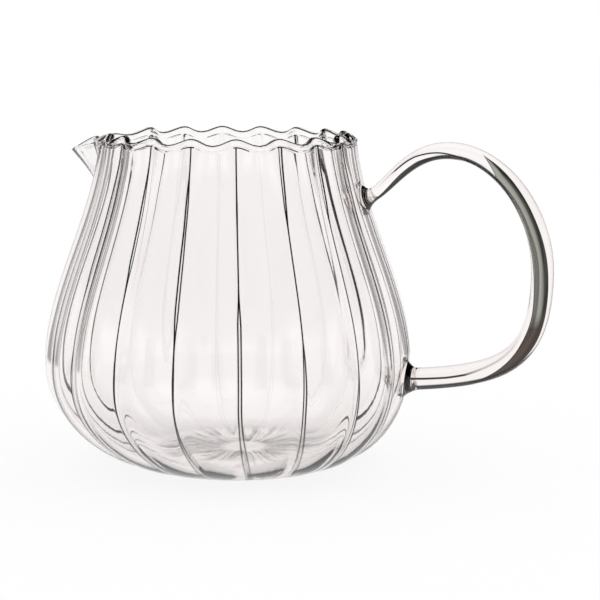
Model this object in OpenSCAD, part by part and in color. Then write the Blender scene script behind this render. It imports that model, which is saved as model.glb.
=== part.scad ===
// Fluted glass jug: one piece of blown glass with a waved rim, a pinched spout and a rod handle.
// Millimetres, +Z up. The origin is the middle of the flat foot. The handle is on +X, the spout on -X.

/* [Body] */
// Height of the rim, halfway between its waves
rim_height = 92.4; // [78:0.2:140]
// Outer radius of the body where it is widest, on the middle of a flute
belly_radius = 51; // [44:0.5:62]
// Height at which the body is widest
belly_height = 30; // [24:0.5:40]
// How full the curve from the foot to the belly is: 2 is an ellipse, less is leaner
belly_fullness = 2.05; // [1.6:0.01:2.4]
// Outer radius of the neck just under the rim
neck_radius = 35.7; // [31:0.2:41]
// How fast the neck still narrows at the rim, 0 for an upright neck
neck_slope = 0.2; // [0:0.05:1]
// Radius of the flat face that it rests on
foot_radius = 18.4; // [12:0.2:24]

/* [Glass] */
// Thickness of the wall on the middle of a flute
wall = 1.8; // [1.4:0.1:2.6]
// Thickness of the floor
floor_thickness = 2.8; // [2:0.1:5]
// Thickness of the rounded bead along the rim
bead = 2.2; // [1.8:0.1:3]
// Thickness of the bead where it is drawn out at the tip of the spout
tip_bead = 1.3; // [0.8:0.1:2.4]

/* [Flutes] */
// Number of flutes around the body
flutes = 18; // [12:2:24]
// Depth of the crease between two flutes at the belly
crease_depth = 1.3; // [0.6:0.1:2.4]
// Depth of the crease between two flutes at the rim
rim_crease_depth = 2; // [0.6:0.1:2.8]
// Depth of the crease on the inner face
inner_crease_depth = 1.2; // [0.6:0.1:1.6]
// How round a flute is across: 1 flat sides, 2 an even bow, 3 a flat middle
flute_bow = 1.9; // [1.2:0.1:3]
// Rise of the rim from the middle of a flute to the crease
rim_wave = 1.8; // [0:0.1:3]
// Height of the band under the rim in which the creases soften into even waves
rim_band = 5; // [2:0.5:12]

/* [Spout] */
// How far the spout is pulled out from the neck
spout_reach = 10.4; // [4:0.2:15]
// How far the tip of the spout drops below the rim
spout_drop = 3.4; // [0:0.1:7]
// Angle from the middle of the spout to where it meets the round of the neck
spout_spread = 22; // [15:1:35]
// Width of the spout at the lower end of its keel, as a share of its width at the rim
spout_foot = 0.4; // [0.2:0.05:1]
// How pinched the spout is: 1 straight sides, more for a finer beak
spout_pinch = 1.35; // [1:0.05:2]
// Height of the keel under the spout
spout_height = 14.2; // [8:0.2:20]

/* [Handle] */
// How far the upper weld lies below the rim
upper_weld_drop = 16.6; // [13:0.2:26]
// Height of the lower weld on the wall
lower_weld = 26.5; // [20:0.5:36]
// Distance from the axis to the rod's middle at the highest point of the handle
crest_x = 61.5; // [54:0.5:68]
// How far the rod's middle lies below the rim at the highest point of the handle
crest_drop = 3.2; // [-6:0.2:12]
// Distance from the axis to the rod's middle at the outermost point
reach_x = 87.4; // [76:0.2:100]
// Height of the outermost point of the handle
reach_height = 57; // [46:0.5:66]
// Diameter of the rod along the grip
grip_diameter = 6.1; // [5:0.1:8]
// Diameter of the rod at the crest
crest_diameter = 4.6; // [4:0.1:6]
// Diameter of the rod just outside the upper weld
neck_diameter = 3.7; // [3:0.1:5]
// Diameter of the upper weld where it spreads on the wall
upper_pad = 8.4; // [7:0.2:11]
// Diameter of the lower weld where it spreads on the wall
lower_pad = 10.4; // [8:0.2:13]

/* [Hidden] */
// points across one flute, even so that a crease and a middle both fall on a point
per_flute = max(4, 2 * floor(54 / flutes));
columns = flutes * per_flute;
low_rows = 9;
high_rows = 7;
rim_rows = 4;
bead_rows = 4;
rod_sides = 16;
// the wall ends where the bead's round begins
wall_top = rim_height - bead / 2;
// the spout starts above the belly however tall it is set
spout_base = max(wall_top - spout_height, (belly_height + wall_top) / 2);
// how far the handle's ends sink into the wall, less than its thickness
sink = wall / 2;
// heights of the upper weld and of the crest above the foot
upper_weld = rim_height - upper_weld_drop;
crest_height = rim_height - crest_drop;

// smooth step from 0 to 1
function ease(x) = let (t = min(1, max(0, x))) t * t * (3 - 2 * t);
function mix(a, b, t) = a + (b - a) * t;

// share of the crease depth at angle a and height z: 0 on the middle of a flute, 1 in the crease,
// bowed flutes on the body and an even wave at the rim
function crease(a, z) =
    let (turn = a * flutes / 360, off = abs(turn - round(turn)))
    mix(pow(2 * off, flute_bow), (1 - cos(360 * off)) / 2, ease((z - wall_top) / rim_band + 1));

// crease depth on the outer face at height z
function depth_at(z) =
    mix(crease_depth, rim_crease_depth, ease((z - 0.7 * wall_top) / (0.3 * wall_top)))
    * ease(1.05 * z / (0.32 * belly_height) + 0.05 * sign(z));

// outer radius of the round body at height z: a quarter of a superellipse, then one cubic
function body_r(z) =
    z < belly_height
    ? foot_radius + (belly_radius - foot_radius)
      * pow(max(0, 1 - pow(1 - max(0, z) / belly_height, belly_fullness)), 1 / belly_fullness)
    : let (u = (z - belly_height) / (wall_top - belly_height))
      belly_radius - (belly_radius - neck_radius)
      * ((3 - neck_slope) * u * u + (neck_slope - 2) * u * u * u);

// slope of that cubic: change of radius for each millimetre of height
function body_slope(z) =
    let (h = wall_top - belly_height, u = (z - belly_height) / h)
    -(belly_radius - neck_radius) / h
    * (2 * (3 - neck_slope) * u + 3 * (neck_slope - 2) * u * u);

// one row of the outer profile: radius, height, and the outward normal in that plane
function low_row(k) =
    let (f = 90 * k / low_rows, a = belly_radius - foot_radius,
         across = pow(sin(f), 2 / belly_fullness), up = pow(cos(f), 2 / belly_fullness),
         n = [pow(across, belly_fullness - 1) / a, -pow(up, belly_fullness - 1) / belly_height])
    [foot_radius + a * across, belly_height * (1 - up), n / norm(n)];
function high_row(z) = let (n = [1, -body_slope(z)]) [body_r(z), z, n / norm(n)];
rows = [
    for (k = [0:low_rows]) low_row(k),
    for (k = [1:high_rows]) high_row(mix(belly_height, spout_base, k / high_rows)),
    for (k = [1:rim_rows]) high_row(mix(spout_base, wall_top, k / rim_rows))
];
last = len(rows) - 1;

// wall thickness: the floor's at the foot, the wall's from the belly up
function thick(row) = mix(wall, floor_thickness, pow(max(0, -row[2][1]), 2));

// pull of the spout at angle a from +X and height z, as a share of its full reach
function pull(a, z) =
    let (up = max(0, (z - spout_base) / (wall_top - spout_base)),
         off = abs(abs(a) - 180) / (spout_spread * mix(spout_foot, 1, min(1, up))))
    off >= 1 ? 0 : pow(1 - off, spout_pinch) * up;

// lift of the rim's waves at angle a and height z
function wave(a, z) = -rim_wave / 2 * cos(flutes * a) * pow(ease((z - wall_top + 14) / 14), 2);

// a point of the jug from its profile radius r and height z at angle a
function place(r, z, a) =
    let (p = z > spout_base ? pull(a, z) : 0)
    [r * cos(a) - spout_reach * p, r * sin(a), z + wave(a, z) - spout_drop * p];

// outer and inner face of one row
function outer_at(row, a) =
    let (d = depth_at(row[1]) * crease(a, row[1]), n = row[2])
    place(row[0] - d * n[0], row[1] - d * n[1], a);
function inner_at(row, a) =
    let (share = depth_at(row[1]) / crease_depth,
         d = thick(row) + inner_crease_depth * min(1, share) * crease(a, row[1]), n = row[2])
    place(row[0] - d * n[0], row[1] - d * n[1], a);

// the bead is half a round laid over the top of the wall, drawn out finer at the spout's tip
function bead_at(k, a) =
    let (o = outer_at(rows[last], a), i = inner_at(rows[last], a),
         m = (o + i) / 2, f = 180 * k / (bead_rows + 1), b = mix(bead, tip_bead, pull(a, wall_top)))
    m + (o - m) * b / wall * cos(f) + [0, 0, b / 2 * sin(f)];

function angle_of(c) = let (a = 360 * c / columns) a > 180 ? a - 360 : a;
skin = concat(
    [for (k = [0:last]) [for (c = [0:columns - 1]) outer_at(rows[k], angle_of(c))]],
    [for (k = [1:bead_rows]) [for (c = [0:columns - 1]) bead_at(k, angle_of(c))]],
    [for (k = [last:-1:0]) [for (c = [0:columns - 1]) inner_at(rows[k], angle_of(c))]]
);

// closed skin over a list of rings, with a middle point for each end
function ring_faces(count, sides) = concat(
    [for (k = [0:count - 2], c = [0:sides - 1]) let (d = (c + 1) % sides)
        [k * sides + c, (k + 1) * sides + c, (k + 1) * sides + d]],
    [for (k = [0:count - 2], c = [0:sides - 1]) let (d = (c + 1) % sides)
        [k * sides + c, (k + 1) * sides + d, k * sides + d]],
    [for (c = [0:sides - 1]) [count * sides, c, (c + 1) % sides]],
    [for (c = [0:sides - 1]) let (e = (count - 1) * sides)
        [count * sides + 1, e + (c + 1) % sides, e + c]]
);
module skinned(rings, first, end) {
    sides = len(rings[0]);
    polyhedron(
        points = concat([for (ring = rings) each ring], [first, end]),
        faces = ring_faces(len(rings), sides)
    );
}

// x of the outer wall on the handle's side, at sideways distance y and height z
function wall_x(y, z) =
    let (r = body_r(z), a = asin(y / r), s = r - depth_at(z) * crease(a, z))
    sqrt(s * s - y * y);

// the handle's middle line: three curves that meet level at the crest and upright at the reach
upper_start = [wall_x(0, upper_weld), upper_weld];
lower_start = [wall_x(0, lower_weld), lower_weld];
crest = [crest_x, crest_height];
reach = [reach_x, reach_height];
curve_up = [
    upper_start,
    upper_start + (crest_x - upper_start[0]) * [0.28, 0.07],
    crest - [0.52 * (crest_x - upper_start[0]), 0],
    crest
];
curve_out = [
    crest,
    crest + [0.55 * (reach_x - crest_x), 0],
    reach + [0, 0.5 * (crest_height - reach_height)],
    reach
];
curve_in = [
    reach,
    reach - [0, 0.82 * (reach_height - lower_weld)],
    lower_start + (reach_x - lower_start[0]) * [0.7, 0.06],
    lower_start
];
function along(b, t) =
    pow(1 - t, 3) * b[0] + 3 * t * pow(1 - t, 2) * b[1]
    + 3 * t * t * (1 - t) * b[2] + pow(t, 3) * b[3];
function heading(b, t) =
    let (d = pow(1 - t, 2) * (b[1] - b[0]) + 2 * t * (1 - t) * (b[2] - b[1]) + t * t * (b[3] - b[2]))
    d / norm(d);

up_rings = 15;
out_rings = 14;
in_rings = 22;

// one ring of the rod: middle, heading, radius, and how far it follows the wall's shape
function rod_ring(m, h, r, follow) = [
    for (c = [0:rod_sides - 1])
    let (f = -360 * c / rod_sides, y = r * sin(f), v = r * cos(f),
         x = m[0] - v * h[1], z = m[1] + v * h[0])
    [mix(x, wall_x(y, z) + m[0] - wall_x(0, m[1]), follow), y, z]
];
// radius that spreads to the weld's pad within a length from the wall
function spread(rod, pad, away) = rod + (pad - rod) * pow(max(0, 1 - away / 3.4), 2.2);

upper_head = heading(curve_up, 0);
lower_head = heading(curve_in, 1);
rod = concat(
    [rod_ring(upper_start - sink * upper_head / upper_head[0], upper_head, upper_pad / 2, 1)],
    [for (k = [0:up_rings - 1]) let (t = pow(k / up_rings, 1.5), m = along(curve_up, t),
            away = norm(m - upper_start))
        rod_ring(m, heading(curve_up, t),
            spread(mix(neck_diameter, crest_diameter, ease((t - 0.1) / 0.9)) / 2, upper_pad / 2, away),
            1 - ease(away / 3.4))],
    [for (k = [0:out_rings - 1]) let (t = k / out_rings)
        rod_ring(along(curve_out, t), heading(curve_out, t),
            mix(crest_diameter, grip_diameter, ease(t)) / 2, 0)],
    [for (k = [0:in_rings]) let (t = 1 - pow(1 - k / in_rings, 1.6), m = along(curve_in, t),
            away = norm(m - lower_start), h = heading(curve_in, t))
        rod_ring(m, h, spread(grip_diameter / 2, lower_pad / 2, away), 1 - ease(away / 3.4))],
    [rod_ring(lower_start + sink * lower_head / abs(lower_head[0]), lower_head, lower_pad / 2, 1)]
);
upper_end = upper_start - sink * upper_head / upper_head[0];
lower_end = lower_start + sink * lower_head / abs(lower_head[0]);

// the blown body: outer face, bead and inner face in one closed skin
module body() {
    skinned(skin, [0, 0, 0], [0, 0, floor_thickness]);
}

// the solid rod, whose spread ends lie inside the wall
module handle() {
    skinned(rod, [upper_end[0], 0, upper_end[1]], [lower_end[0], 0, lower_end[1]]);
}

module jug() {
    color([0.82, 0.87, 0.87])
    union() {
        body();
        handle();
    }
}

jug();
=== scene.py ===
import math

import bpy
import numpy as np
from mathutils import Matrix, Vector


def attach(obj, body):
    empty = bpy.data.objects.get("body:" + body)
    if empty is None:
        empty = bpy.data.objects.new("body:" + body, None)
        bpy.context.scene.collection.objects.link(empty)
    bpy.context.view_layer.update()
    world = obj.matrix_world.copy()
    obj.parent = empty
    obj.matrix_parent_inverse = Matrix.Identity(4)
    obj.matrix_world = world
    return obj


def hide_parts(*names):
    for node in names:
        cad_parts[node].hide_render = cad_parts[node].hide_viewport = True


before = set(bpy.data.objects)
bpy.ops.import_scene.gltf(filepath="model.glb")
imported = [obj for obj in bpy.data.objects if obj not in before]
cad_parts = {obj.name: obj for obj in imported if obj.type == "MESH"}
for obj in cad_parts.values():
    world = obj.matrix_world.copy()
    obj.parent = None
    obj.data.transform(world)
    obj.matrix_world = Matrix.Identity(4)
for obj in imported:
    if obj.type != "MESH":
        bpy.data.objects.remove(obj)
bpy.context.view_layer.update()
print("frame loaded")

mm = 0.001

# the blown body, sizes in mm
body = {
    "rimHeight": 92.4,
    "bellyRadius": 51.0,
    "bellyHeight": 30.0,
    "bellyFullness": 2.05,
    "neckRadius": 35.7,
    "neckSlope": 0.2,
    "footRadius": 18.4,
    "wall": 1.8,
    "floorThickness": 2.8,
    "bead": 2.2,
    "flutes": 18,
    "creaseDepth": 1.3,
    "rimCreaseDepth": 2.0,
    "growth": 12.0,           # the flutes deepen over this length below the rim
    "footGrowth": 0.32,       # and grow from the foot over this share of the belly's height
    "footStart": 0.05,        # where this much of the growth is there at once
    "lowShare": 0.5,          # share of the depth that is left low on the body
    "lowReach": (8.0, 38.0),
    "innerRound": 0.2,        # rounding of the inner face's creases
    "fluteBow": 1.9,
    "creaseRound": 0.03,      # rounding of the crease, as a share of half a flute
    "rimRound": 0.6,          # and of the waves above the mould's mark
    "markDrop": 1.1,          # the mould's mark: the creases stop this far under the wall's top
    "markStep": 0.3,
    "markRows": 5,
    "rimWave": 1.74,
    "waveReach": 14.0,        # the rim's waves fade out over this length below it
    "lean": 3.0,              # hand-made: the foot stands off the axis
    "leanTowards": 35.0,      # degrees from +X
    "twist": 2.5,             # degrees that the flutes turn above the foot
    "leanHeight": 26.0,       # both are gone at this height
    "columnsPerFlute": 26,
    "crowding": 4.0,          # how closely the columns crowd towards the creases
    "lowRows": 38,
    "highRows": 40,
    "beadRows": 11,
}

# the pinched spout, sizes in mm and degrees
spout = {
    "reach": 10.4,
    "drop": 3.0,
    "spread": 22.0,
    "foot": 0.4,              # width at the keel's lower end, as a share of that at the rim
    "pinch": 1.35,
    "height": 14.2,
    "tipRound": 0.02,
    "tipBead": 1.3,           # the rim is drawn out thin at the tip
}

# the rod handle, sizes in mm
handle = {
    "upperWeld": 75.8,
    "lowerWeld": 26.5,
    "crest": (61.5, 89.2),
    "reach": (87.4, 57.0),
    "grip": 6.1,
    "crestDiameter": 4.6,
    "neck": 3.7,
    "upperPad": 8.4,
    "lowerPad": 10.4,
    "padReach": 3.4,             # the rod spreads into its pads over this length
    "padPower": 2.2,
    "fromUpper": (0.28, 0.07),   # how each of the three curves sets out and arrives,
    "intoCrest": 0.52,           # as shares of the way between its ends
    "fromCrest": 0.55,
    "intoReach": 0.5,
    "fromReach": 0.82,
    "intoLower": (0.7, 0.06),
    "neckShare": 0.1,            # share of the first curve that keeps the neck's thickness
    "sides": 52,
    "ringsUp": 56,
    "ringsOut": 44,
    "ringsIn": 80,
    "crowdUp": 1.5,              # the rings crowd towards the welds by these powers
    "crowdIn": 1.6,
}

# painted shade: the dark line that light bent in the glass leaves along each crease, the rim, the mould's
# mark and the spout's keel, sizes in mm
line = {
    "rimHalfWidth": 0.3,
    "rimApart": 0.7,          # the rim's two lines, outside and inside its crest
    "markReach": (0.5, 6.5),  # how far the mould's mark runs from a crease
    "markChance": (7.3, 2.1), # the runs differ by the sine of these, times the flute and its side
    "markThin": 1.7,          # how much finer it is than the rim's lines
    "keelThin": 2.0,          # the same for the spout's keel
    "keelShare": 0.85,        # share of the keel's height that shows a line
    "reach": 4.0,             # distance at which the nearness on the mesh falls to 0
    "halfWidth": 0.24,
    "softness": 0.1,
    "apart": 0.4,             # the most that a double line stands off the crease
    "waver": 28.0,            # it comes and goes by a noise of this many cells a metre
    "waverRange": (0.45, 0.62),
    "shade": 0.0,
    "within": 0.14,           # strength of the line where it is seen through the glass, from within
    "flare": 0.5,             # near the foot the line opens into a grey wedge
    "flareHeight": 22.0,
    "wedgeFill": 0.4,
    "footFade": 0.25,         # how much paler the line is at the foot
    "rodClear": 7.5,          # no line is kept within this angle of the rod, in degrees,
    "rodTop": 5.0,            # up to this far under the wall's top,
    "rodOut": 6.0,            # nor further out than this from the neck
    "rodUnder": 10.0,         # in the top part of this height
}

# fine ripples left by the blowing, sizes in mm
ripple = {
    "spokes": 17.0,           # noise cells round the jug, over 2 pi
    "cells": 12.0,            # and up the wall, a metre
    "wallDepth": 0.007,
    "baseSpokes": 15.0,
    "baseCells": 60.0,        # cells outwards on the floor, a metre
    "detail": 2.0,
    "baseDepth": 0.15,
    "baseMiddle": (4.6, 0.6), # the star's middle in x and y
    "baseIn": (4.0, 9.0),     # the star on the floor comes in between these radii
    "baseOut": (21.0, 29.0),  # and goes out between these
    "baseTop": (5.0, 9.0),    # and up the wall between these heights
    "baseStrokes": (0.5, 0.66),   # noise levels between which a stroke is darkened
    "baseTint": 0.4,
}

# painted reflections on the rod, standing in for dark surroundings bent in the glass; a place is (share
# of the rod's length, from the inner side -1 to the outer 1)
rodReflections = {
    # the painted dark reflection band's inner and outer borders
    "low": ((0.285, 0.72), (0.3, 0.35), (0.32, -0.15), (0.335, -0.5), (0.34, -0.78), (0.36, -0.84),
            (0.4, -0.88), (0.45, -0.88), (0.5, -0.85), (0.55, -0.76), (0.6, -0.6), (0.65, -0.43),
            (0.7, -0.36), (0.72, -0.3), (0.75, -0.1), (0.78, 0.15), (0.8, 0.33), (0.83, 0.55),
            (0.86, 0.72), (0.88, 0.85), (0.9, 1.05)),
    "high": ((0.285, 0.68), (0.3, 0.6), (0.35, 0.5), (0.4, 0.43), (0.45, 0.42), (0.5, 0.5), (0.55, 0.6),
             (0.6, 0.7), (0.65, 0.76), (0.7, 0.8), (0.8, 0.8), (0.85, 0.85), (0.9, 1.0)),
    "edge": 0.03,                 # softness of each border and streak
    "border": (0.06, 0.12),       # the band is dark this close to its inner border
    "darkens": (0.48, 0.76),      # and from this share of its width to its outer border
    "greyAbove": (42.0, 48.0),    # heights between which it turns from brown to grey, in mm
    "grey": ((0.14, 0.15, 0.12), (0.0008, 0.001, 0.0006)),     # its light and its dark colour
    "brown": ((0.006, 0.0032, 0.0022), (0.0012, 0.0005, 0.0003)),
    # a painted dark reflection lies along an edge, inward of the first on the upper arm, and outward of
    # the second on the lower one
    "under": ((0.02, -0.85), (0.05, -0.7), (0.08, -0.55), (0.1, -0.48), (0.15, -0.45), (0.18, -0.58),
              (0.2, -0.7), (0.22, -0.82), (0.26, -1.1)),
    "below": ((0.84, 1.1), (0.87, 0.86), (0.96, 0.84), (0.975, 1.1)),
    "darkFill": 0.997,
    # a thin painted dark reflection streak on the upper arm and one on the lower, and their strength
    # along the rod
    "upper": ((0.1, 0.4), (0.13, 0.36), (0.15, 0.28), (0.17, 0.08), (0.19, -0.08), (0.21, -0.25),
              (0.23, -0.45), (0.25, -0.6), (0.27, -0.74), (0.3, -0.82), (0.34, -0.84)),
    "lower": ((0.7, -0.75), (0.75, -0.57), (0.8, -0.38), (0.83, -0.25), (0.86, -0.1), (0.9, -0.07),
              (0.95, -0.13), (0.985, -0.2)),
    "strength": ((0.085, 0.0), (0.1, 1.0), (0.335, 1.0), (0.345, 0.0), (0.69, 0.0), (0.74, 0.4),
                 (0.82, 0.6), (0.86, 1.0), (0.975, 1.0), (0.985, 0.0)),
    "halfWidth": 0.1,
    "streakShade": 0.0004,
    "parting": 0.5,               # share of the length that divides the upper arm from the lower
    # the rod's painted dark edges, a reflection by how far the glass faces away, from this share of the
    # length at each weld
    "edgeFrom": (0.28, 0.45),
    "edgeShade": 0.02,
    "edgeStrength": 0.1,
    "ends": 0.04,
    "bodyOverlap": 2.0,           # the rod is looked for from this far inside the neck's radius, in mm,
    "reach": 0.1,                 # and this far outside its own
}

wallTop = body["rimHeight"] - body["bead"] / 2


def ease(x):
    # 3t^2 - 2t^3 with t = x held between 0 and 1
    t = np.clip(x, 0.0, 1.0)
    return t * t * (3 - 2 * t)


def mix(a, b, t):
    # a + (b - a) t
    return a + (b - a) * t


def creaseShare(angle, z, roundness=None):
    # (1 - s)^bow, s = (sqrt(x^2 + e^2) - e) / (sqrt(1 + e^2) - e), x from 0 at the crease to 1 mid-flute
    x = 1 - 2 * np.abs(flutesRound(angle))
    e = mix(body["rimRound"], roundness or body["creaseRound"], mouldShare(z))
    s = (np.sqrt(x ** 2 + e ** 2) - e) / (np.sqrt(1 + e ** 2) - e)
    return np.clip(1 - s, 0, 1) ** body["fluteBow"]


def flutesRound(angle):
    # flutes turned from the nearest flute's middle, -1/2 to 1/2
    turn = angle * body["flutes"] / (2 * np.pi)
    return turn - np.round(turn)


def mouldShare(z):
    # 1 below the mould's mark, 0 above it
    return ease((wallTop - body["markDrop"] - z) / body["markStep"] + 0.5)


def creaseDepth(z):
    # (neck's to rim's depth over the last of the height) (lowShare to 1) (0 at the foot to 1)
    low, high = body["lowReach"]
    grown = mix(body["creaseDepth"], body["rimCreaseDepth"], ease((z - wallTop) / body["growth"] + 1))
    grown = grown * mix(body["lowShare"], 1, ease((z - low) / (high - low)))
    start = body["footStart"]
    return grown * ease((1 + start) * z / (body["footGrowth"] * body["bellyHeight"]) + start * np.sign(z))


def bodyRadius(z):
    # foot + a (1 - (1 - z/b)^n)^(1/n) below the belly, then R - (R - r)((3 - m) u^2 + (m - 2) u^3)
    b, n, m = body["bellyHeight"], body["bellyFullness"], body["neckSlope"]
    low = body["footRadius"] + (body["bellyRadius"] - body["footRadius"]) * np.clip(
        1 - np.clip(1 - np.maximum(z, 0) / b, 0, 1) ** n, 0, 1) ** (1 / n)
    u = (z - b) / (wallTop - b)
    high = body["bellyRadius"] - (body["bellyRadius"] - body["neckRadius"]) * (
        (3 - m) * u ** 2 + (m - 2) * u ** 3)
    return np.where(z < b, low, high)


def creaseAway(angle, z):
    # distance along the wall from the nearest crease, in mm
    return (1 - 2 * np.abs(flutesRound(angle))) * np.pi * bodyRadius(z) / body["flutes"]


def creaseNearness(angle, z):
    # 1 - d / reach, and nothing above the mould's mark
    return np.clip(1 - creaseAway(angle, z) / line["reach"], 0, 1) * mouldShare(z)


def markNearness(angle, z):
    # 1 - (thin d + apart) / reach, d the height from the mould's mark, close to a crease
    low, high = line["markReach"]
    byFlute, bySide = line["markChance"]
    flute = np.floor(angle * body["flutes"] / (2 * np.pi))
    run = mix(low, high, 0.5 + 0.5 * np.sin(byFlute * flute + bySide * np.sign(flutesRound(angle))))
    d = line["markThin"] * np.abs(z - wallTop + body["markDrop"]) + line["rimApart"]
    return np.clip(1 - d / line["reach"], 0, 1) * (creaseAway(angle, z) < run)


def keelNearness(angle, z):
    # 1 - thin d / reach, d the distance round the wall from the spout's middle
    d = bodyRadius(z) * (np.pi - np.abs(angle))
    near = np.clip(1 - line["keelThin"] * d / line["reach"], 0, 1)
    return near * (z > wallTop - line["keelShare"] * spout["height"])


def profileRows():
    # superellipse quarter from foot to belly, then the cubic to the rim; each row has its outward normal
    n, b = body["bellyFullness"], body["bellyHeight"]
    a = body["bellyRadius"] - body["footRadius"]
    f = np.linspace(0, np.pi / 2, body["lowRows"] + 1)
    across = np.sin(f) ** (2 / n)
    up = np.clip(np.cos(f), 0, 1) ** (2 / n)
    lowNormal = np.stack([across ** (n - 1) / a, -(up ** (n - 1)) / b], 1)
    low = np.stack([body["footRadius"] + a * across, b * (1 - up)], 1)
    z = np.linspace(b, wallTop, body["highRows"] + 1)[1:]
    mark = wallTop - body["markDrop"] + body["markStep"] * np.linspace(-0.5, 0.5, body["markRows"])
    z = np.sort(np.concatenate([z[np.abs(z - mark.mean()) > body["markStep"]], mark]))
    h, m = wallTop - b, body["neckSlope"]
    u = (z - b) / h
    slope = -(body["bellyRadius"] - body["neckRadius"]) / h * (2 * (3 - m) * u + 3 * (m - 2) * u ** 2)
    high = np.stack([bodyRadius(z), z], 1)
    highNormal = np.stack([np.ones_like(z), -slope], 1)
    points = np.concatenate([low, high])
    normals = np.concatenate([lowNormal, highNormal])
    return points, normals / np.linalg.norm(normals, axis=1, keepdims=True)


def spoutPull(angle, z):
    # up (1 - off)^pinch, up from 0 at the keel's lower end to 1 at the rim; the keel's edge is rounded
    up = np.maximum(0, (z - wallTop) / spout["height"] + 1)
    off = np.abs(np.abs(angle) - np.pi) / math.radians(spout["spread"])
    off = off / mix(spout["foot"], 1, np.minimum(up, 1))
    tip = spout["tipRound"]
    off = np.sqrt(off ** 2 + tip ** 2) - tip * np.exp(-off / tip)
    return up * np.clip(1 - off, 0, 1) ** spout["pinch"]


def rimLift(angle, z):
    # -wave/2 cos(N angle), fading out below the rim
    fade = ease((z - wallTop + body["waveReach"]) / body["waveReach"]) ** 2
    return -body["rimWave"] / 2 * np.cos(body["flutes"] * angle) * fade


def placed(r, z, angle):
    # (r cos a - reach p, r sin a, z + lift - drop p) with p the spout's pull,
    # and the foot's lean and twist times (1 - z / height)^2
    p = spoutPull(angle, z)
    q = np.clip(1 - z / body["leanHeight"], 0, 1) ** 2
    turned = angle + math.radians(body["twist"]) * q
    towards = math.radians(body["leanTowards"])
    return np.stack([r * np.cos(turned) - spout["reach"] * p + body["lean"] * q * math.cos(towards),
                     r * np.sin(turned) + body["lean"] * q * math.sin(towards),
                     z + rimLift(angle, z) - spout["drop"] * p], -1)


def flutedWall():
    # outer face P - d c n, inner face P - (t + d' c) n, joined by half a round over the rim
    points, normals = profileRows()
    u = np.linspace(-1, 1, body["columnsPerFlute"], endpoint=False)
    crowding = body["crowding"]
    spread = np.sign(u) * (1 - np.sinh(crowding * (1 - np.abs(u))) / math.sinh(crowding))
    one = spread / body["flutes"] * np.pi
    angle = (np.arange(body["flutes"])[:, None] * 2 * np.pi / body["flutes"] + one[None, :]).ravel()
    angle = (angle + np.pi) % (2 * np.pi) - np.pi
    angle = angle[None, :]
    r, z = points[:, :1], points[:, 1:]
    share = creaseShare(angle, z)
    nr, nz = normals[:, :1], normals[:, 1:]
    depth = creaseDepth(z)
    outer = placed(r - depth * share * nr, z - depth * share * nz, angle)
    thick = mix(body["wall"], body["floorThickness"], np.maximum(0, -nz) ** 2)
    inward = thick + depth * creaseShare(angle, z, body["innerRound"])
    inner = placed(r - inward * nr, z - inward * nz, angle)
    middle = (outer[-1] + inner[-1]) / 2
    f = np.pi * np.arange(1, body["beadRows"] + 1) / (body["beadRows"] + 1)
    bead = mix(body["bead"], spout["tipBead"], spoutPull(angle[0], wallTop))[:, None]
    beadRing = (middle + (outer[-1] - middle) * (bead / body["wall"]) * np.cos(f)[:, None, None]
                + bead * np.array([0, 0, 0.5]) * np.sin(f)[:, None, None])
    rings = np.concatenate([outer, beadRing, inner[::-1]])
    # nearness to the painted shade lines: the creases, then the rim, the mould's mark and the keel
    near = np.zeros((2,) + rings.shape[:2])
    near[0, :len(outer)] = creaseNearness(angle, z)
    near[1, :len(outer)] = np.maximum(markNearness(angle, z), keelNearness(angle, z))
    fromCrest = body["bead"] / 2 * np.abs(f - np.pi / 2)
    near[1, len(outer):-len(inner)] = np.clip(1 - fromCrest / line["reach"], 0, 1)[:, None]
    return rings, near


def skinFaces(rows, columns):
    # quads between neighbouring rings, and a fan at each end
    k, c = np.meshgrid(np.arange(rows - 1), np.arange(columns), indexing="ij")
    d = (c + 1) % columns
    quads = np.stack([k * columns + c, k * columns + d, (k + 1) * columns + d, (k + 1) * columns + c], -1)
    c = np.arange(columns)
    d = (c + 1) % columns
    first = np.stack([np.full(columns, rows * columns), d, c], 1)
    e = (rows - 1) * columns
    last = np.stack([np.full(columns, rows * columns + 1), e + c, e + d], 1)
    return quads.reshape(-1, 4).tolist() + first.tolist() + last.tolist()


def meshFrom(name, rings, firstPoint, lastPoint):
    # closed rings, joined in turn, with a point at each end
    rows, columns = rings.shape[:2]
    points = np.concatenate([rings.reshape(-1, 3), [firstPoint], [lastPoint]]) * mm
    mesh = bpy.data.meshes.new(name)
    mesh.from_pydata(points.tolist(), [], skinFaces(rows, columns))
    mesh.validate()
    obj = bpy.data.objects.new(name, mesh)
    bpy.context.scene.collection.objects.link(obj)
    return obj


def wallX(y, z):
    # sqrt(s^2 - y^2) with s the fluted radius at that height
    r = bodyRadius(z)
    s = r - creaseDepth(z) * creaseShare(np.arcsin(np.clip(y / r, -1, 1)), z)
    return np.sqrt(np.maximum(s ** 2 - y ** 2, 0))


def alongCurve(b, t):
    # cubic curve through four points
    t = t[:, None]
    return (1 - t) ** 3 * b[0] + 3 * t * (1 - t) ** 2 * b[1] + 3 * t ** 2 * (1 - t) * b[2] + t ** 3 * b[3]


def headingOf(b, t):
    # its first derivative, made unit length
    t = t[:, None]
    d = (1 - t) ** 2 * (b[1] - b[0]) + 2 * t * (1 - t) * (b[2] - b[1]) + t ** 2 * (b[3] - b[2])
    return d / np.linalg.norm(d, axis=1, keepdims=True)


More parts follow.
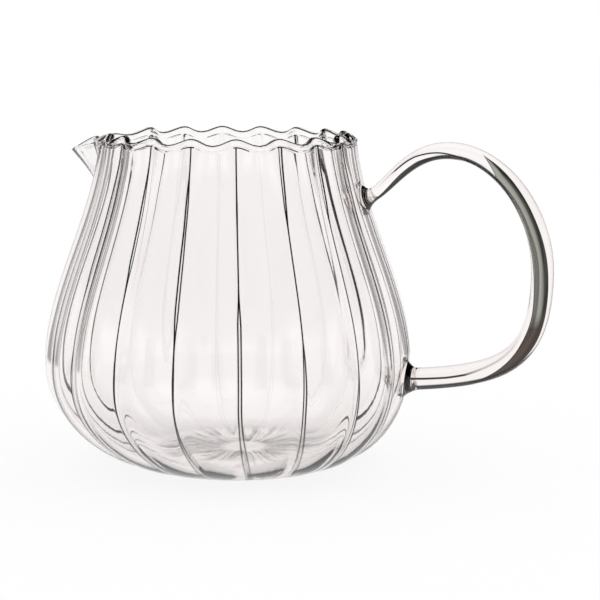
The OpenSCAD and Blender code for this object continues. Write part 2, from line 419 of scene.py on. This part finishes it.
def rodRings():
    # circles carried along three joined curves; radius rod + (pad - rod)(1 - away / padReach)^padPower,
    # and close to a weld each circle follows the wall
    sink = body["wall"] / 2
    upper = np.array([float(wallX(0.0, handle["upperWeld"])), handle["upperWeld"]])
    lower = np.array([float(wallX(0.0, handle["lowerWeld"])), handle["lowerWeld"]])
    crest, reach = np.array(handle["crest"]), np.array(handle["reach"])
    curveUp = np.array([upper, upper + (crest[0] - upper[0]) * np.array(handle["fromUpper"]),
                        crest - [handle["intoCrest"] * (crest[0] - upper[0]), 0], crest])
    curveOut = np.array([crest, crest + [handle["fromCrest"] * (reach[0] - crest[0]), 0],
                         reach + [0, handle["intoReach"] * (crest[1] - reach[1])], reach])
    curveIn = np.array([reach, reach - [0, handle["fromReach"] * (reach[1] - lower[1])],
                        lower + (reach[0] - lower[0]) * np.array(handle["intoLower"]), lower])
    tUp = (np.arange(handle["ringsUp"]) / handle["ringsUp"]) ** handle["crowdUp"]
    tOut = np.arange(handle["ringsOut"]) / handle["ringsOut"]
    tIn = 1 - (1 - np.arange(handle["ringsIn"] + 1) / handle["ringsIn"]) ** handle["crowdIn"]
    curves = ((curveUp, tUp), (curveOut, tOut), (curveIn, tIn))
    middle = np.concatenate([alongCurve(*one) for one in curves])
    heading = np.concatenate([headingOf(*one) for one in curves])
    swell = ease((tUp - handle["neckShare"]) / (1 - handle["neckShare"]))
    radius = np.concatenate([mix(handle["neck"], handle["crestDiameter"], swell),
                             mix(handle["crestDiameter"], handle["grip"], ease(tOut)),
                             np.full(len(tIn), handle["grip"])]) / 2
    awayUp = np.linalg.norm(middle - upper, axis=1)
    awayLow = np.linalg.norm(middle - lower, axis=1)
    for away, pad in ((awayUp, handle["upperPad"]), (awayLow, handle["lowerPad"])):
        share = np.maximum(0, 1 - away / handle["padReach"]) ** handle["padPower"]
        radius = radius + (pad / 2 - radius) * share
    follow = 1 - ease(np.minimum(awayUp, awayLow) / handle["padReach"])
    firstMiddle = upper - sink * heading[0] / heading[0][0]
    lastMiddle = lower + sink * heading[-1] / abs(heading[-1][0])
    middle = np.concatenate([[firstMiddle], middle, [lastMiddle]])
    heading = np.concatenate([heading[:1], heading, heading[-1:]])
    radius = np.concatenate([radius[:1], radius, radius[-1:]])
    follow = np.concatenate([[1.0], follow, [1.0]])
    f = -2 * np.pi * np.arange(handle["sides"]) / handle["sides"]
    y = radius[:, None] * np.sin(f)
    v = radius[:, None] * np.cos(f)
    x = middle[:, :1] - v * heading[:, 1:]
    z = middle[:, 1:] + v * heading[:, :1]
    onWall = wallX(y, z) + middle[:, :1] - wallX(np.zeros_like(middle[:, :1]), middle[:, 1:])
    x = np.where(follow[:, None] > 0, mix(x, onWall, follow[:, None]), x)
    return np.stack([x, y, z], -1), firstMiddle, lastMiddle


marks = ("creaseNear", "edgeNear")


def setNearness(obj, values):
    # the two fan points at the ends lie far from any line
    for name, one in zip(marks, values):
        mark = obj.data.attributes.new(name, "FLOAT", "POINT")
        mark.data.foreach_set("value", np.concatenate([one.ravel(), [0, 0]]).astype(np.float32))


def clearRod(obj):
    # the rod lies on +X, in mid-flute, where no line is; the weld leaves chance values on it
    n = len(obj.data.vertices)
    points = np.empty(n * 3, np.float32)
    obj.data.vertices.foreach_get("co", points)
    x, y, z = points.reshape(-1, 3).T / mm
    onRod = (x > 0) & (np.abs(np.arctan2(y, x)) < math.radians(line["rodClear"]))
    onRod &= z < wallTop - line["rodTop"]
    onRod |= (x > body["bellyRadius"])
    onRod |= (x > body["neckRadius"] + line["rodOut"]) & (z > wallTop - line["rodUnder"])
    for name in marks:
        values = np.empty(n, np.float32)
        mark = obj.data.attributes[name]
        mark.data.foreach_get("value", values)
        values[onRod] = 0
        mark.data.foreach_set("value", values)


rings, near = flutedWall()
footX, footY = (body["lean"] * part(math.radians(body["leanTowards"])) for part in (math.cos, math.sin))
shell = meshFrom("jugBody", rings, (footX, footY, 0), (footX, footY, body["floorThickness"]))
setNearness(shell, near)
print("body made", len(shell.data.vertices))

rod, rodStart, rodEnd = rodRings()
loop = meshFrom("jugRod", rod, (rodStart[0], 0, rodStart[1]), (rodEnd[0], 0, rodEnd[1]))
setNearness(loop, np.zeros((2,) + rod.shape[:2]))
print("rod made", len(loop.data.vertices))


def fuse(target, tool):
    # one skin around both, so the welds have no inner face
    join = target.modifiers.new("weld", "BOOLEAN")
    join.operation = "UNION"
    join.solver = "EXACT"
    join.object = tool
    bpy.context.view_layer.objects.active = target
    for o in bpy.context.selected_objects:
        o.select_set(False)
    target.select_set(True)
    bpy.ops.object.modifier_apply(modifier=join.name)
    bpy.data.objects.remove(tool)


def along(points, t):
    # the second value at t, on straight lines through the given pairs
    return np.interp(t, *np.array(points).T)


def addRodReflections(obj, rod):
    # painted reflections on the rod: (place across it - border) for each border and streak, in the rod's
    # radii
    n = len(obj.data.vertices)
    points = np.empty(n * 3, np.float32)
    obj.data.vertices.foreach_get("co", points)
    points = points.reshape(-1, 3).astype(float) / mm
    ringMiddle = rod[:, :, [0, 2]].mean(1)
    ringRadius = np.abs(rod[:, :, 1]).max(1)
    step = np.linalg.norm(np.diff(ringMiddle, axis=0), axis=1)
    ringShare = np.concatenate([[0], np.cumsum(step)]) / step.sum()
    heading = np.gradient(ringMiddle, axis=0)
    heading /= np.linalg.norm(heading, axis=1, keepdims=True)
    onRod = points[:, 0] > body["neckRadius"] - rodReflections["bodyOverlap"]
    onRod &= np.abs(points[:, 1]) < handle["grip"]
    p = points[onRod]
    away = ((p[:, None, [0, 2]] - ringMiddle[None]) ** 2).sum(2)
    k = np.argmin(away, axis=1)
    near = np.sqrt(away.min(1)) < handle["grip"] / 2 + rodReflections["reach"]
    offset = p[:, [0, 2]] - ringMiddle[k]
    t = ringShare[k] + (offset * heading[k]).sum(1) / step.sum()
    across = (offset[:, 1] * heading[k, 0] - offset[:, 0] * heading[k, 1]) / ringRadius[k]
    upperArm = t < rodReflections["parting"]
    streak = np.where(upperArm, along(rodReflections["upper"], t), along(rodReflections["lower"], t))
    dark = np.where(upperArm, along(rodReflections["under"], t) - across, across - along(rodReflections["below"], t))
    edge = rodReflections["edgeStrength"] * ease(t / rodReflections["ends"]) * ease((1 - t) / rodReflections["ends"])
    for name, part, elsewhere in (("reflectionLow", across - along(rodReflections["low"], t), -1),
                                  ("reflectionHigh", along(rodReflections["high"], t) - across, -1),
                                  ("darkNear", dark, -1),
                                  ("streakNear", across - streak, 1),
                                  ("reflectionStreakStrength", along(rodReflections["strength"], t), 0),
                                  ("rodEdge", edge, 0)):
        values = np.full(n, elsewhere, np.float32)
        values[onRod] = np.where(near, part, elsewhere)
        obj.data.attributes.new(name, "FLOAT", "POINT").data.foreach_set("value", values)


fuse(shell, loop)
clearRod(shell)
addRodReflections(shell, rod)
shell.data.shade_smooth()
triangles = len(shell.data.loops) - 2 * len(shell.data.polygons)
print("welded", len(shell.data.vertices), triangles, "triangles")


def feed(tree, sockets):
    # a number goes into its socket, an output is linked to it
    for socket, v in sockets:
        if isinstance(v, (int, float)):
            socket.default_value = v
        else:
            tree.links.new(v, socket)


def wire(tree, operation, *values):
    # one maths node, operation(values)
    n = tree.nodes.new("ShaderNodeMath")
    n.operation = operation
    feed(tree, zip(n.inputs, values))
    return n.outputs[0]


def between(tree, value, low, high, toLow, toHigh):
    # smooth step of value from low to high, carried to toLow and toHigh
    n = tree.nodes.new("ShaderNodeMapRange")
    n.interpolation_type = "SMOOTHSTEP"
    names = ("Value", "From Min", "From Max", "To Min", "To Max")
    feed(tree, zip((n.inputs[name] for name in names), (value, low, high, toLow, toHigh)))
    return n.outputs["Result"]


def noise(tree, at, scale, detail):
    # noise at scale times the place
    n = tree.nodes.new("ShaderNodeTexNoise")
    n.inputs["Scale"].default_value = scale
    n.inputs["Detail"].default_value = detail
    tree.links.new(at, n.inputs["Vector"])
    return n.outputs["Fac"]


def placeIn(tree, space):
    # the place, whole and as x, y and z
    coord = tree.nodes.new("ShaderNodeTexCoord")
    split = tree.nodes.new("ShaderNodeSeparateXYZ")
    tree.links.new(coord.outputs[space], split.inputs[0])
    return coord.outputs[space], *(split.outputs[k] for k in "XYZ")


def startTree(owner):
    # an empty node tree
    owner.use_nodes = True
    owner.node_tree.nodes.clear()
    return owner.node_tree


# the clear glass
glassLook = {
    "ior": 1.47,
    "absorbs": (0.75, 0.26, 0.13),     # the colour that is kept, and how much is taken, a metre
    "density": 18.0,
}


def read(tree, name):
    # a value stored on the mesh
    mark = tree.nodes.new("ShaderNodeAttribute")
    mark.attribute_name = name
    return mark.outputs["Fac"]


def blended(tree, share, first, second, how="MIX"):
    # first to second by share, or first (1 - share + share second) with how set to MULTIPLY
    colour = tree.nodes.new("ShaderNodeMix")
    colour.data_type = "RGBA"
    colour.blend_type = how
    tree.links.new(share, colour.inputs["Factor"])
    for name, v in (("A", first), ("B", second)):
        if isinstance(v, tuple):
            colour.inputs[name].default_value = (*v, 1)
        else:
            tree.links.new(v, colour.inputs[name])
    return colour.outputs["Result"]


def darkWithin(tree, distance, halfWidth, softness):
    # 1 within the half width of a line, 0 outside it
    gap = wire(tree, "ABSOLUTE", distance)
    return between(tree, gap, halfWidth - softness, halfWidth + softness, 1.0, 0.0)


def stroke(tree, name, stand, halfWidth, fill=0.0):
    # 1 on the line, d the distance from it less the stand-off of a double line, fill between the two
    d = wire(tree, "MULTIPLY_ADD", read(tree, name), -line["reach"], line["reach"])
    d = wire(tree, "SUBTRACT", d, stand)
    lineCore = darkWithin(tree, d, halfWidth, line["softness"])
    return wire(tree, "MAXIMUM", lineCore, between(tree, d, 0.0, halfWidth, fill, 0.0))


def wallLines(tree, z, outside):
    # painted shade along the creases and edges: the strongest of the crease and edge strokes, times
    # within + (1 - within) outside, paler at the foot
    flareTop = line["flareHeight"] * mm
    flare = between(tree, z, 0.0, flareTop, 1.0, 0.0)
    coming = noise(tree, placeIn(tree, "Object")[0], line["waver"], 1.0)
    stand = between(tree, coming, *line["waverRange"], 0.0, line["apart"])
    stand = wire(tree, "MULTIPLY_ADD", flare, line["flare"], stand)
    fill = wire(tree, "MULTIPLY", flare, line["wedgeFill"])
    shade = wire(tree, "MAXIMUM", stroke(tree, "creaseNear", stand, line["halfWidth"], fill),
                 stroke(tree, "edgeNear", line["rimApart"], line["rimHalfWidth"]))
    seen = wire(tree, "MULTIPLY_ADD", outside, 1.0 - line["within"], line["within"])
    shade = wire(tree, "MULTIPLY", shade, seen)
    return wire(tree, "MULTIPLY", shade, between(tree, z, 0.0, flareTop, 1 - line["footFade"], 1.0))


def spokes(tree, x, y, radius, count, along, stretch):
    # noise at (count x / r, count y / r, stretch along)
    at = tree.nodes.new("ShaderNodeCombineXYZ")
    for i, v in enumerate((x, y)):
        tree.links.new(wire(tree, "MULTIPLY", wire(tree, "DIVIDE", v, radius), count), at.inputs[i])
    tree.links.new(wire(tree, "MULTIPLY", along, stretch), at.inputs[2])
    return noise(tree, at.outputs[0], 1.0, ripple["detail"])


def ripples(tree, x, y, z):
    # height = star ray baseDepth + wall ray wallDepth, with star 1 on the floor's ring;
    # and the darker strokes, star times the strong part of the ray
    x, y = (wire(tree, "SUBTRACT", v, middle * mm) for v, middle in zip((x, y), ripple["baseMiddle"]))
    radius = wire(tree, "SQRT", wire(tree, "MULTIPLY_ADD", x, x, wire(tree, "MULTIPLY", y, y)))
    star = between(tree, radius, *(v * mm for v in ripple["baseIn"]), 0.0, 1.0)
    for value, ends in ((radius, ripple["baseOut"]), (z, ripple["baseTop"])):
        star = wire(tree, "MULTIPLY", star, between(tree, value, *(v * mm for v in ends), 1.0, 0.0))
    ray = spokes(tree, x, y, radius, ripple["baseSpokes"], radius, ripple["baseCells"])
    wallRay = spokes(tree, x, y, radius, ripple["spokes"], z, ripple["cells"])
    height = wire(tree, "MULTIPLY", wire(tree, "MULTIPLY", star, ray), ripple["baseDepth"] * mm)
    height = wire(tree, "MULTIPLY_ADD", wallRay, ripple["wallDepth"] * mm, height)
    strokes = wire(tree, "MULTIPLY", star, between(tree, ray, *ripple["baseStrokes"], 0.0, 1.0))
    return height, strokes


def reflectionBand(tree, z):
    # painted dark reflection band: 1 between the band's two borders; its colour goes from light to dark
    # by low / (low + high)
    low, high = read(tree, "reflectionLow"), read(tree, "reflectionHigh")
    band = wire(tree, "MULTIPLY", between(tree, low, 0.0, rodReflections["edge"], 0.0, 1.0),
                between(tree, high, 0.0, rodReflections["edge"], 0.0, 1.0))
    place = wire(tree, "DIVIDE", low, wire(tree, "ADD", low, high))
    dark = wire(tree, "MAXIMUM", between(tree, place, *rodReflections["darkens"], 0.0, 1.0),
                between(tree, low, *rodReflections["border"], 1.0, 0.0))
    above = between(tree, z, *(v * mm for v in rodReflections["greyAbove"]), 0.0, 1.0)
    reflectionColour = blended(tree, above, *(blended(tree, dark, *rodReflections[k]) for k in ("brown", "grey")))
    return band, reflectionColour


def rodStreaks(tree):
    # painted dark reflections: the strongest of the thin streak times its strength, the dark edge's
    # border, and the edge's fill
    dark = read(tree, "darkNear")
    thin = darkWithin(tree, read(tree, "streakNear"), rodReflections["halfWidth"], rodReflections["edge"])
    streaks = wire(tree, "MULTIPLY", thin, read(tree, "reflectionStreakStrength"))
    for value in (darkWithin(tree, dark, rodReflections["halfWidth"], rodReflections["edge"]),
                  between(tree, dark, 0.0, rodReflections["edge"], 0.0, rodReflections["darkFill"])):
        streaks = wire(tree, "MAXIMUM", streaks, value)
    return streaks


def clearGlass():
    # full transmission; base colour the product of the darker strokes, painted reflections and painted
    # shade, volume density (1 - colour) a metre
    mat = bpy.data.materials.new("clearGlass")
    tree = startTree(mat)
    nodes, links = tree.nodes, tree.links
    out = nodes.new("ShaderNodeOutputMaterial")
    shader = nodes.new("ShaderNodeBsdfPrincipled")
    shader.inputs["Transmission Weight"].default_value = 1.0
    shader.inputs["IOR"].default_value = glassLook["ior"]
    shader.inputs["Roughness"].default_value = 0.0
    links.new(shader.outputs["BSDF"], out.inputs["Surface"])
    inner = nodes.new("ShaderNodeVolumeAbsorption")
    inner.inputs["Color"].default_value = (*glassLook["absorbs"], 1)
    inner.inputs["Density"].default_value = glassLook["density"]
    links.new(inner.outputs["Volume"], out.inputs["Volume"])
    x, y, z = placeIn(tree, "Object")[1:]
    # outside is 1 where the skin is met from outside, and 0 where it is met from within
    side = nodes.new("ShaderNodeNewGeometry")
    outside = wire(tree, "SUBTRACT", 1.0, side.outputs["Backfacing"])

    height, strokes = ripples(tree, x, y, z)
    bump = nodes.new("ShaderNodeBump")
    bump.inputs["Strength"].default_value = 1.0
    bump.inputs["Distance"].default_value = 1.0
    links.new(height, bump.inputs["Height"])
    links.new(bump.outputs["Normal"], shader.inputs["Normal"])

    colour = blended(tree, strokes, (1, 1, 1), (ripple["baseTint"],) * 3)
    band, reflectionColour = reflectionBand(tree, z)
    # painted dark reflection on the rod's edges, by how far the glass faces away
    facing = nodes.new("ShaderNodeLayerWeight")
    facing.inputs["Blend"].default_value = 0.5
    rodEdge = between(tree, facing.outputs["Facing"], *rodReflections["edgeFrom"], 0.0, 1.0)
    # painted dark reflections on the rod and painted shade along the wall's lines, each multiplied into
    # the colour
    for share, shade in (
            (wire(tree, "MULTIPLY", band, outside), reflectionColour),
            (wire(tree, "MULTIPLY", rodStreaks(tree), outside), (rodReflections["streakShade"],) * 3),
            (wire(tree, "MULTIPLY", read(tree, "rodEdge"), rodEdge), (rodReflections["edgeShade"],) * 3),
            (wallLines(tree, z, outside), (line["shade"],) * 3)):
        colour = blended(tree, share, colour, shade, "MULTIPLY")
    links.new(colour, shader.inputs["Base Color"])
    return mat


glass = clearGlass()
shell.data.materials.clear()
shell.data.materials.append(glass)
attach(shell, "root")
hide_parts("jug")

# the studio: a white floor and low backdrop, dark walls above it, a wide soft light overhead,
# and narrow dark screens between the usual views; light turned round in the glass many times fades out
studio = {
    "wallFrom": (12.0, 20.0),     # degrees above the horizon
    "wallTo": (46.0, 56.0),
    "wallGrey": 0.03,
    "screens": (157.5, 202.5, 247.5, 292.5, 337.5, 22.5, 67.5),     # directions from +X, in degrees
    "screenHalf": 8.0,            # half width, in degrees
    "screenEdge": 3.0,
    "screenGrey": 0.3,
    "screenFrom": (0.2, 0.25),    # where the screens begin on the floor, in metres from the middle
    "clearTurns": 6,              # a straight look through both walls meets the glass four times
    "lastTurns": 9,
    "fadedTo": 0.04,
    "floorShadow": 0.12,          # share of the floor that takes shadow
    "floorRadius": 6.0,           # metres
    "floorSides": 96,
    "floorUnder": 0.0002,         # how far it lies under the jug's foot, in metres
}


def screens(tree, x, y):
    # 1 away from the screens, screenGrey on them, by the direction of (x, y)
    azimuth = wire(tree, "ARCTAN2", y, x)
    level = 1.0
    half = studio["screenHalf"]
    for centre in studio["screens"]:
        turned = wire(tree, "SUBTRACT", azimuth, math.radians(centre))
        facing = wire(tree, "COSINE", turned)
        here = between(tree, facing, math.cos(math.radians(half + studio["screenEdge"])),
                       math.cos(math.radians(half)), 1.0, studio["screenGrey"])
        level = wire(tree, "MULTIPLY", here, level)
    return level


def pathLevel(tree, shade):
    # bent shade fade + (1 - bent), bent is 1 for a ray that came by a reflection or through glass
    path = tree.nodes.new("ShaderNodeLightPath")
    bent = wire(tree, "MAXIMUM",
                path.outputs["Is Glossy Ray"], path.outputs["Is Transmission Ray"])
    fade = tree.nodes.new("ShaderNodeMapRange")
    names = ("Value", "From Min", "From Max", "To Min", "To Max")
    feed(tree, zip((fade.inputs[name] for name in names), (
        path.outputs["Ray Depth"], studio["clearTurns"], studio["lastTurns"], 1.0, studio["fadedTo"])))
    dim = wire(tree, "MULTIPLY", shade, fade.outputs[0])
    level = wire(tree, "ADD",
                 wire(tree, "MULTIPLY", bent, dim),
                 wire(tree, "SUBTRACT", 1.0, bent))
    seen = wire(tree, "MAXIMUM", bent, path.outputs["Is Camera Ray"])
    return level, seen


def studioFloor():
    # emission (1 - shadow) + diffuse shadow, where the floor is looked at; plain diffuse for other light
    angle = np.linspace(0, 2 * np.pi, studio["floorSides"], endpoint=False)
    ring = np.stack([studio["floorRadius"] * np.cos(angle), studio["floorRadius"] * np.sin(angle),
                     np.full(len(angle), -studio["floorUnder"])], 1)
    mesh = bpy.data.meshes.new("floor")
    mesh.from_pydata(ring.tolist(), [], [list(range(len(angle)))])
    floor = bpy.data.objects.new("floor", mesh)
    bpy.context.scene.collection.objects.link(floor)
    mat = bpy.data.materials.new("paleFloor")
    tree = startTree(mat)
    nodes, links = tree.nodes, tree.links
    out = nodes.new("ShaderNodeOutputMaterial")
    place, x, y = placeIn(tree, "Object")[:3]
    away = nodes.new("ShaderNodeVectorMath")
    away.operation = "LENGTH"
    links.new(place, away.inputs[0])
    far = between(tree, away.outputs["Value"], *studio["screenFrom"], 0.0, 1.0)
    shade = wire(tree, "MULTIPLY_ADD", far, wire(tree, "SUBTRACT", screens(tree, x, y), 1.0), 1.0)
    level, seen = pathLevel(tree, shade)
    white = nodes.new("ShaderNodeEmission")
    links.new(level, white.inputs["Strength"])
    matt = nodes.new("ShaderNodeBsdfDiffuse")
    matt.inputs["Color"].default_value = (1, 1, 1, 1)
    both = nodes.new("ShaderNodeMixShader")
    links.new(wire(tree, "MULTIPLY", seen, 1 - studio["floorShadow"]), both.inputs[0])
    links.new(matt.outputs[0], both.inputs[1])
    links.new(white.outputs[0], both.inputs[2])
    links.new(both.outputs[0], out.inputs["Surface"])
    mesh.materials.append(mat)
    return floor


def studioWorld():
    # 1 at the horizon down to wallGrey, times the screens, and 1 overhead, by the sine of the height
    world = bpy.data.worlds.new("studio")
    bpy.context.scene.world = world
    tree = startTree(world)
    nodes, links = tree.nodes, tree.links
    back = nodes.new("ShaderNodeBackground")
    back.inputs["Color"].default_value = (1, 1, 1, 1)
    x, y, z = placeIn(tree, "Generated")[1:]
    start, stop = ([math.sin(math.radians(v)) for v in studio[k]] for k in ("wallFrom", "wallTo"))
    low = wire(tree, "MULTIPLY", between(tree, z, *start, 1.0, studio["wallGrey"]), screens(tree, x, y))
    shade = wire(tree, "MAXIMUM", low, between(tree, z, *stop, 0.0, 1.0))
    links.new(pathLevel(tree, shade)[0], back.inputs["Strength"])
    out = nodes.new("ShaderNodeOutputWorld")
    links.new(back.outputs[0], out.inputs["Surface"])


studioFloor()
studioWorld()
print("studio made")

# the camera stands where the photograph was taken from
camera = {
    "position": (0.16079, -0.53363, 0.12461),
    "forward": (-0.2518, 0.9578, -0.1390),
    "right": (0.9670, 0.2547, 0.0035),
    "focalPixels": 2019.4,
    "widthPixels": 600,
    "sensorWidth": 36.0,
}
cam = bpy.data.objects.new("camera", bpy.data.cameras.new("camera"))
bpy.context.scene.collection.objects.link(cam)
fwd = Vector(camera["forward"]).normalized()
right = (Vector(camera["right"]) - fwd * Vector(camera["right"]).dot(fwd)).normalized()
up = right.cross(fwd)
cam.matrix_world = Matrix((
    (right.x, up.x, -fwd.x, camera["position"][0]),
    (right.y, up.y, -fwd.y, camera["position"][1]),
    (right.z, up.z, -fwd.z, camera["position"][2]),
    (0, 0, 0, 1)))
cam.data.sensor_width = camera["sensorWidth"]
cam.data.sensor_fit = "HORIZONTAL"
cam.data.lens = camera["focalPixels"] / camera["widthPixels"] * camera["sensorWidth"]
bpy.context.scene.camera = cam

view = bpy.context.scene.view_settings
view.view_transform = "Standard"

print("finishing")
